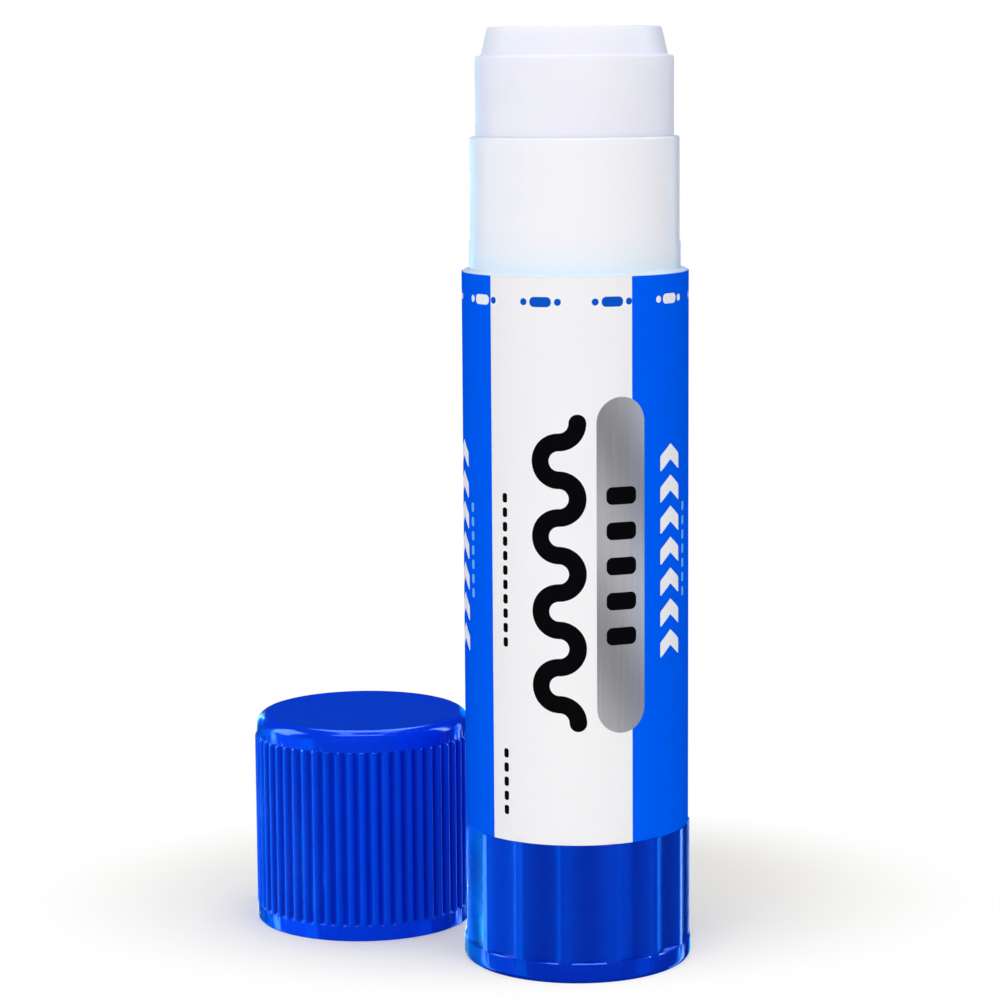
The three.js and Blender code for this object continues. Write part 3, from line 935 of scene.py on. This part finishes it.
# %% [markdown]
# A bead of glue runs up the panel in black, in nine bends. It is a chain of half circles that turn
# to one side and the other by turns, so its mask is where the distance to the nearest half circle is
# less than half the bead's width. Beyond the middle line that is the half circle of the next bend.
# The first and last bend are cut in half, and a dot rounds each end.

# %% Bead of glue
BEAD_MIDDLE = -2.6
BEAD_BEND = 2.45
BEAD_BENDS = 9
BEAD_LOW = 35
BEAD_HIGH = BEAD_LOW + 2 * BEAD_BEND * (BEAD_BENDS - 1)
BEAD_HALF = 1.15

sideways = add(tree, "Math", {0: round_film, 1: BEAD_MIDDLE}, operation="SUBTRACT")
rise = add(tree, "Math", {0: axes["Z"], 1: BEAD_LOW - BEAD_BEND}, operation="SUBTRACT")
bend = add(tree, "Math", {0: rise, 1: 2 * BEAD_BEND}, operation="DIVIDE")
bend = add(tree, "Math", {0: bend}, operation="FLOOR")
bend = add(tree, "Clamp", {0: bend, 1: 0, 2: BEAD_BENDS - 1})
bend_middle = add(tree, "Math", {0: bend, 1: 2 * BEAD_BEND, 2: BEAD_BEND}, operation="MULTIPLY_ADD")
rise = add(tree, "Math", {0: rise, 1: bend_middle}, operation="SUBTRACT")
rise = add(tree, "Math", {0: rise}, operation="ABSOLUTE")
odd = add(tree, "Math", {0: bend, 1: 2}, operation="MODULO")
side = add(tree, "Math", {0: odd, 1: -2, 2: 1}, operation="MULTIPLY_ADD")
sideways = add(tree, "Math", {0: sideways, 1: side}, operation="MULTIPLY")
beyond = add(tree, "Math", {0: sideways, 1: 0}, operation="LESS_THAN")
next_rise = add(tree, "Math", {0: 2 * BEAD_BEND, 1: rise}, operation="SUBTRACT")
rise = add(tree, "Mix", {0: beyond, 2: rise, 3: next_rise})
gap = add(tree, "CombineXYZ", {0: sideways, 1: rise})
gap = add(tree, "VectorMath", {0: gap}, output="Value", operation="LENGTH")
gap = add(tree, "Math", {0: gap, 1: BEAD_BEND}, operation="SUBTRACT")
gap = add(tree, "Math", {0: gap}, operation="ABSOLUTE")
bead = add(tree, "Math", {0: gap, 1: BEAD_HALF}, operation="LESS_THAN")
bead_place = (BEAD_MIDDLE, (BEAD_LOW + BEAD_HIGH) / 2)
bead_room = bar(tree, at, bead_place, (8 * BEAD_BEND, BEAD_HIGH - BEAD_LOW))
bead = add(tree, "Math", {0: bead, 1: bead_room}, operation="MULTIPLY")
for level in (BEAD_LOW, BEAD_HIGH):
    end = bar(tree, at, (BEAD_MIDDLE + BEAD_BEND, level), (2 * BEAD_HALF, 2 * BEAD_HALF), BEAD_HALF)
    bead = add(tree, "Math", {0: bead, 1: end}, operation="MAXIMUM")
print("the bead runs from", BEAD_LOW, "to", round(BEAD_HIGH, 1), "mm")

# %% [markdown]
# A silver bar with five dark steps lies over the panel's edge. Silver ink is fine metal flakes in
# varnish, so it is a little metallic, and fine streaks follow the way in which the film was printed. Its
# sheen is painted into its colour as wide soft waves of light and dark. The real streaks are too fine to
# show, so these are wider.

# %% Silver bar
SILVER_MIDDLE = (5.7, 55.5)
SILVER_SIZE = (6.8, 44)
STREAK_SIZE = (0.333, 12.5)
STREAK_SHARE = 0.35
PAINTED_SHEEN_SHARES = (0.1, 0.8)
PAINTED_SHEEN_WAVE = (20, 28.6)
SILVER_DARK = "#8F8D8F"
SILVER_LIGHT = "#D2D0D0"

silver = bar(tree, at, SILVER_MIDDLE, SILVER_SIZE, SILVER_SIZE[0] / 2)
streaks = {0: at, 1: (1 / STREAK_SIZE[0], 1 / STREAK_SIZE[1], 1)}
streaks = add(tree, "VectorMath", streaks, operation="MULTIPLY")
streaks = add(tree, "TexNoise", {"Vector": streaks, "Scale": 1.0, "Detail": 3.0})
# painted sheen: the ink's colour goes lighter and darker in wide soft waves
painted_sheen = {0: at, 1: (2 * math.pi / PAINTED_SHEEN_WAVE[0], 2 * math.pi / PAINTED_SHEEN_WAVE[1], 0)}
painted_sheen = add(tree, "VectorMath", painted_sheen, output="Value", operation="DOT_PRODUCT")
painted_sheen = add(tree, "Math", {0: painted_sheen}, operation="SINE")
painted_sheen = add(tree, "MapRange", {0: painted_sheen, 1: -1, 2: 1, 3: PAINTED_SHEEN_SHARES[0], 4: PAINTED_SHEEN_SHARES[1]})
painted_sheen = add(tree, "Math", {0: streaks, 1: STREAK_SHARE, 2: painted_sheen}, operation="MULTIPLY_ADD")
silver_ink = add(
    tree, "Mix", {0: painted_sheen, 6: colour(SILVER_DARK), 7: colour(SILVER_LIGHT)}, **MIX_COLOURS
)
print_colour = add(tree, "Mix", {0: silver, 6: print_colour, 7: silver_ink}, **MIX_COLOURS)
print("the silver bar is", SILVER_SIZE[1], "mm long")

# %% [markdown]
# Rows of small dashes run up the film, dark where they lie on the panel and light blue where they
# lie on the ground. The dark ones, the bead and the steps of the silver bar share one black ink.

# %% Steps and dashes
STEP_SIZE = (4.2, 2.3)
STEP_CORNER = 0.8
STEP_PITCH = 4.6
STEPS = 5
DASH_SIZE = (0.75, 1.25)
DASH_CORNER = 0.3
DASH_PITCH = 1.9
DASH_ROWS = [(-10.3, 26.6, 5), (-10.3, 54.7, 11), (17.7, 56.5, 7), (-17.3, 56.5, 7)]
BLACK_INK = "#0A0A0C"
LIGHT_BLUE_INK = "#6FB4FF"

steps = row_of_bars(tree, at, SILVER_MIDDLE, STEP_SIZE, STEP_CORNER, STEP_PITCH, STEPS)
dark = add(tree, "Math", {0: bead, 1: steps}, operation="MAXIMUM")
dashes = 0
for middle, level, count in DASH_ROWS:
    row = row_of_bars(tree, at, (middle, level), DASH_SIZE, DASH_CORNER, DASH_PITCH, count)
    dashes = add(tree, "Math", {0: dashes, 1: row}, operation="MAXIMUM")
dark_dashes = add(tree, "Math", {0: dashes, 1: panel}, operation="MULTIPLY")
light_dashes = add(tree, "Math", {0: dashes, 1: dark_dashes}, operation="SUBTRACT")
dark = add(tree, "Math", {0: dark, 1: dark_dashes}, operation="MAXIMUM")
print_colour = add(tree, "Mix", {0: dark, 6: print_colour, 7: colour(BLACK_INK)}, **MIX_COLOURS)
print_colour = add(
    tree, "Mix", {0: light_dashes, 6: print_colour, 7: colour(LIGHT_BLUE_INK)}, **MIX_COLOURS
)
print("dashes:", sum(count for middle, level, count in DASH_ROWS))

# %% [markdown]
# Two columns of white chevrons stand on the blue ground of each half turn. A chevron is a bar whose
# two halves slope down from its middle, so a place is lifted by a share of its distance from the
# column's middle line before the bar is drawn.

# %% Chevrons
CHEVRON_COLUMNS = (14.1, -20.9)
CHEVRON_LEVEL = 57.5
CHEVRON_SLOPE = 0.7
CHEVRON_SIZE = (4.3, 2.1)
CHEVRON_CORNER = 0.25
CHEVRON_PITCH = 4.1
CHEVRONS = 7
MARK_WHITE = "#F4F6FA"

chevrons = 0
for middle in CHEVRON_COLUMNS:
    offset = add(tree, "Math", {0: round_film, 1: middle}, operation="SUBTRACT")
    offset = add(tree, "Math", {0: offset}, operation="ABSOLUTE")
    lift = add(tree, "Math", {0: offset, 1: CHEVRON_SLOPE, 2: axes["Z"]}, operation="MULTIPLY_ADD")
    lifted = add(tree, "CombineXYZ", {0: offset, 1: lift})
    column_middle = (0, CHEVRON_LEVEL)
    column = row_of_bars(
        tree, lifted, column_middle, CHEVRON_SIZE, CHEVRON_CORNER, CHEVRON_PITCH, CHEVRONS
    )
    chevrons = add(tree, "Math", {0: chevrons, 1: column}, operation="MAXIMUM")
print_colour = add(tree, "Mix", {0: chevrons, 6: print_colour, 7: colour(MARK_WHITE)}, **MIX_COLOURS)
print("chevrons:", CHEVRONS * len(CHEVRON_COLUMNS))

# %% [markdown]
# A row of small marks runs round the top of the film, ten in all, each a short bar between two
# dots. They are blue on the panel and white on the ground.

# %% Row at the top
TOP_ROW = (-4.95, 89.75)
MARKS_IN_HALF_TURN = 5
MARK_SIZE = (2.9, 1.3)
MARK_CORNER = 0.6
DOT_PLACE = 2.3
DOT_SIZE = (0.9, 0.9)
DOT_CORNER = 0.44
MARK_BLUE = "#0A55C8"

top_place = repeated(tree, at, TOP_ROW, (half_turn / MARKS_IN_HALF_TURN, 0))
marks = bar(tree, top_place, (0, 0), MARK_SIZE, MARK_CORNER)
for dot_place in (-DOT_PLACE, DOT_PLACE):
    dot = bar(tree, top_place, (dot_place, 0), DOT_SIZE, DOT_CORNER)
    marks = add(tree, "Math", {0: marks, 1: dot}, operation="MAXIMUM")
marks_ink = add(tree, "Mix", {0: panel, 6: colour(MARK_WHITE), 7: colour(MARK_BLUE)}, **MIX_COLOURS)
print_colour = add(tree, "Mix", {0: marks, 6: print_colour, 7: marks_ink}, **MIX_COLOURS)
print("marks:", 2 * MARKS_IN_HALF_TURN)

# %% [markdown]
# The film is printed on its outside alone, so its cut edge and its inside stay white. Only the
# silver ink is metallic. Very low waves are left where the glue under the film is uneven.

# %% Cut edge and sheen of the film
PRINT_DEPTH = 0.12
EDGE_WHITE = "#EEF2F6"
SILVER_METAL = 0.35
FILM_WAVE = 4
FILM_WAVE_DEPTH = 0.03 * MM

axis_gap = add(tree, "VectorMath", {0: place, 1: (1, 1, 0)}, operation="MULTIPLY")
axis_gap = add(tree, "VectorMath", {0: axis_gap}, output="Value", operation="LENGTH")
cut_edge = add(tree, "Math", {0: axis_gap, 1: film_reach - PRINT_DEPTH}, operation="LESS_THAN")
print_colour = add(tree, "Mix", {0: cut_edge, 6: print_colour, 7: colour(EDGE_WHITE)}, **MIX_COLOURS)
tree.links.new(print_colour, shader.inputs["Base Color"])
bare_silver = add(tree, "Math", {0: 1.0, 1: dark}, operation="SUBTRACT")
bare_silver = add(tree, "Math", {0: silver, 1: bare_silver}, operation="MULTIPLY")
metal = add(tree, "Math", {0: bare_silver, 1: SILVER_METAL}, operation="MULTIPLY")
tree.links.new(metal, shader.inputs["Metallic"])
waves = add(tree, "TexNoise", {"Vector": place, "Scale": 1 / FILM_WAVE, "Detail": 2.0})
relief = add(tree, "Bump", {"Height": waves, "Distance": FILM_WAVE_DEPTH})
tree.links.new(relief, shader.inputs["Normal"])
film.data.materials.append(printed)
print(printed.name, "has", len(tree.nodes), "nodes")

# %% [markdown]
# ### Blue polypropylene
#
# Knob and cap are moulded from one blue polypropylene. The mould was polished, so it is glossy, and
# plastic like this shrinks a little as it cools, which leaves a very fine waviness that breaks up
# its reflections. Handling leaves faint haze, so the roughness varies a little.

# %% Helper for the blue
PIGMENT_CLOUD = 5
PIGMENT_SPREAD = (0.92, 1.08)
HAZE_PATCH = 2
HAZE_CUT = (0.3, 0.7)
HAZE_ROUGHNESS = (0.1, 0.16)
SHRINK_WAVE = 1.25
SHRINK_DEPTH = 0.012 * MM


def blue_finish(name, centre, reaches, levels, shaded_blues):
    """The blue plastic. Between two levels it goes from one blue in the hollows, a darker one that is
    painted shade, to another on the crests, by the distance from the axis. Outside these levels it has
    the third blue."""
    blue, tree, shader = new_finish(name, {
        "Metallic": 0.2,
        "IOR": 1.49,
        "Specular IOR Level": 0.5,
    })
    place = in_millimetres(tree)
    axis = (centre[0] / MM, centre[1] / MM, 0)
    offset = add(tree, "VectorMath", {0: place, 1: axis}, operation="SUBTRACT")
    offset = add(tree, "VectorMath", {0: offset, 1: (1, 1, 0)}, operation="MULTIPLY")
    reach = add(tree, "VectorMath", {0: offset}, output="Value", operation="LENGTH")
    # painted shade: the hollows get the darker blue, by their distance from the axis
    height = add(tree, "MapRange", {0: reach, 1: reaches[0] / MM, 2: reaches[1] / MM})
    tint = add(tree, "Mix", {0: height, 6: colour(shaded_blues[0]), 7: colour(shaded_blues[1])}, **MIX_COLOURS)
    level = add(tree, "SeparateXYZ", {0: place}, output="Z")
    middle = sum(levels) / 2 / MM
    off_middle = add(tree, "Math", {0: level, 1: middle}, operation="SUBTRACT")
    off_middle = add(tree, "Math", {0: off_middle}, operation="ABSOLUTE")
    plain = add(tree, "Math", {0: off_middle, 1: levels[1] / MM - middle}, operation="GREATER_THAN")
    tint = add(tree, "Mix", {0: plain, 6: tint, 7: colour(shaded_blues[2])}, **MIX_COLOURS)
    pigment = add(tree, "TexNoise", {"Vector": place, "Scale": 1 / PIGMENT_CLOUD, "Detail": 3.0})
    pigment = add(tree, "MapRange", {0: pigment, 3: PIGMENT_SPREAD[0], 4: PIGMENT_SPREAD[1]})
    tint = add(tree, "VectorMath", {0: tint, "Scale": pigment}, operation="SCALE")
    tree.links.new(tint, shader.inputs["Base Color"])
    haze = add(tree, "TexNoise", {"Vector": place, "Scale": 1 / HAZE_PATCH, "Detail": 4.0})
    span = {1: HAZE_CUT[0], 2: HAZE_CUT[1], 3: HAZE_ROUGHNESS[0], 4: HAZE_ROUGHNESS[1]}
    haze = add(tree, "MapRange", {0: haze, **span})
    tree.links.new(haze, shader.inputs["Roughness"])
    waviness = add(tree, "TexNoise", {"Vector": place, "Scale": 1 / SHRINK_WAVE, "Detail": 2.0})
    relief = add(tree, "Bump", {"Height": waviness, "Distance": SHRINK_DEPTH})
    tree.links.new(relief, shader.inputs["Normal"])
    return blue


print("one blue plastic for two pieces")

# %% Knob's blue
# painted shade: the knob's blues are darker than the cap's, and its ring's blue is darker than its
# crests, for how light falls on the knob
knob_shaded_blues = ("#0033BC", "#0040D4", "#0034CC")
flute_reaches = (LAND_RADIUS - FLUTE_DEPTH, LAND_RADIUS)
flute_levels = (RING_TOP, SKIRT_TOP)
knob_finish = blue_finish("moulded_blue_knob", (0, 0), flute_reaches, flute_levels, knob_shaded_blues)
knob.data.materials.append(knob_finish)
print(knob_finish.name, "is on", knob.name)

# %% Cap's blue
# painted light: the cap's crests get a lighter blue than the knob's, for the brighter light on the cap,
# and its grooves a painted darker shade
cap_shaded_blues = ("#0021BE", "#0048EA", "#003FEE")
rib_reaches = (CAP_BAND - RIB_SUNK, CAP_BAND + RIB_PROUD)
rib_levels = (RIB_BOTTOM, RIB_TOP)
cap_finish = blue_finish("moulded_blue_cap", cap_centre, rib_reaches, rib_levels, cap_shaded_blues)
cap.data.materials.append(cap_finish)
print(cap_finish.name, "is on", cap.name)

# %% [markdown]
# ### Natural polyethylene
#
# The hidden pieces, the carrier, the spindle and the seal, are natural polyethylene, waxy and
# slightly grey. The carrier and the spindle keep the model's own shapes, so the finish goes to
# their material slots.

# %% Natural polyethylene
FLOW_MARK = 2.5
WAX_GRAIN = 0.333
WAX_GRAIN_DEPTH = 0.01 * MM

natural, tree, shader = new_finish("moulded_natural_polyethylene", {
    "Roughness": 0.5,
    "IOR": 1.51,
    "Subsurface Weight": 0.3,
    "Subsurface Scale": 1.0 * MM,
})
place = in_millimetres(tree)
flow = add(tree, "TexNoise", {"Vector": place, "Scale": 1 / FLOW_MARK, "Detail": 4.0})
tint = add(tree, "Mix", {0: flow, 6: colour("#E2E6EA"), 7: colour("#EFF2F4")}, **MIX_COLOURS)
tree.links.new(tint, shader.inputs["Base Color"])
grain = add(tree, "TexNoise", {"Vector": place, "Scale": 1 / WAX_GRAIN, "Detail": 3.0})
relief = add(tree, "Bump", {"Height": grain, "Distance": WAX_GRAIN_DEPTH})
tree.links.new(relief, shader.inputs["Normal"])
for name in ("carrier_cup", "screw_spindle"):
    nodes[name].material_slots[0].material = natural
seal.data.materials.append(natural)
print(natural.name, "is on three pieces")
